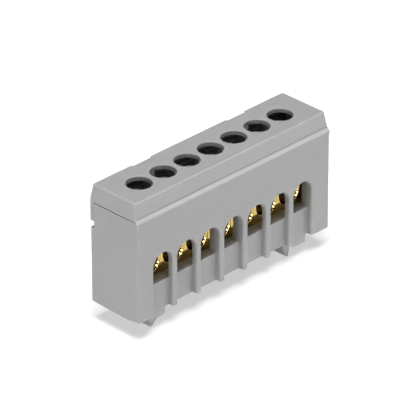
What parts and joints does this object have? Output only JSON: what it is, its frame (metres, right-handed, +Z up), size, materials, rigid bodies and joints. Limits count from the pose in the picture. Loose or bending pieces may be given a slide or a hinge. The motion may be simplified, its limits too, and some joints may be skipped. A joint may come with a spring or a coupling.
{
  "type": "insulated terminal block",
  "caption": "Grey insulated terminal block with a brass bar, arched wire entries and clamp screws under a snap-fit lid, for a 35 mm rail.",
  "frame": {"origin": "middle of the moulding's length and depth, on the plane that sits on the rail", "axes": "+X along the row of ways with the sprung latch at the +X end, +Y from the wire entries towards the back, +Z up out of the rail towards the lid"},
  "size_m": [0.054, 0.0132, 0.0303],
  "materials": {
    "grey_plastic": "light grey moulded plastic, fine matt surface",
    "brass": "bright machined brass",
    "screw_steel": "zinc plated steel"
  },
  "bodies": {
    "block": {"housing": "grey_plastic", "lid": "grey_plastic", "busbar": "brass"},
    "screw_1": {"clamp_screw_1": "screw_steel"},
    "screw_2": {"clamp_screw_2": "screw_steel"},
    "screw_3": {"clamp_screw_3": "screw_steel"},
    "screw_4": {"clamp_screw_4": "screw_steel"},
    "screw_5": {"clamp_screw_5": "screw_steel"},
    "screw_6": {"clamp_screw_6": "screw_steel"},
    "screw_7": {"clamp_screw_7": "screw_steel"}
  },
  "joints": [
    {"name": "screw_1_travel", "type": "slide", "parent": "block", "child": "screw_1", "axis": [0, 0, -1], "range_m": [0, 0.0052]},
    {"name": "screw_2_travel", "type": "slide", "parent": "block", "child": "screw_2", "axis": [0, 0, -1], "range_m": [0, 0.0052]},
    {"name": "screw_3_travel", "type": "slide", "parent": "block", "child": "screw_3", "axis": [0, 0, -1], "range_m": [0, 0.0052]},
    {"name": "screw_4_travel", "type": "slide", "parent": "block", "child": "screw_4", "axis": [0, 0, -1], "range_m": [0, 0.0052]},
    {"name": "screw_5_travel", "type": "slide", "parent": "block", "child": "screw_5", "axis": [0, 0, -1], "range_m": [0, 0.0052]},
    {"name": "screw_6_travel", "type": "slide", "parent": "block", "child": "screw_6", "axis": [0, 0, -1], "range_m": [0, 0.0052]},
    {"name": "screw_7_travel", "type": "slide", "parent": "block", "child": "screw_7", "axis": [0, 0, -1], "range_m": [0, 0.0052]}
  ]
}
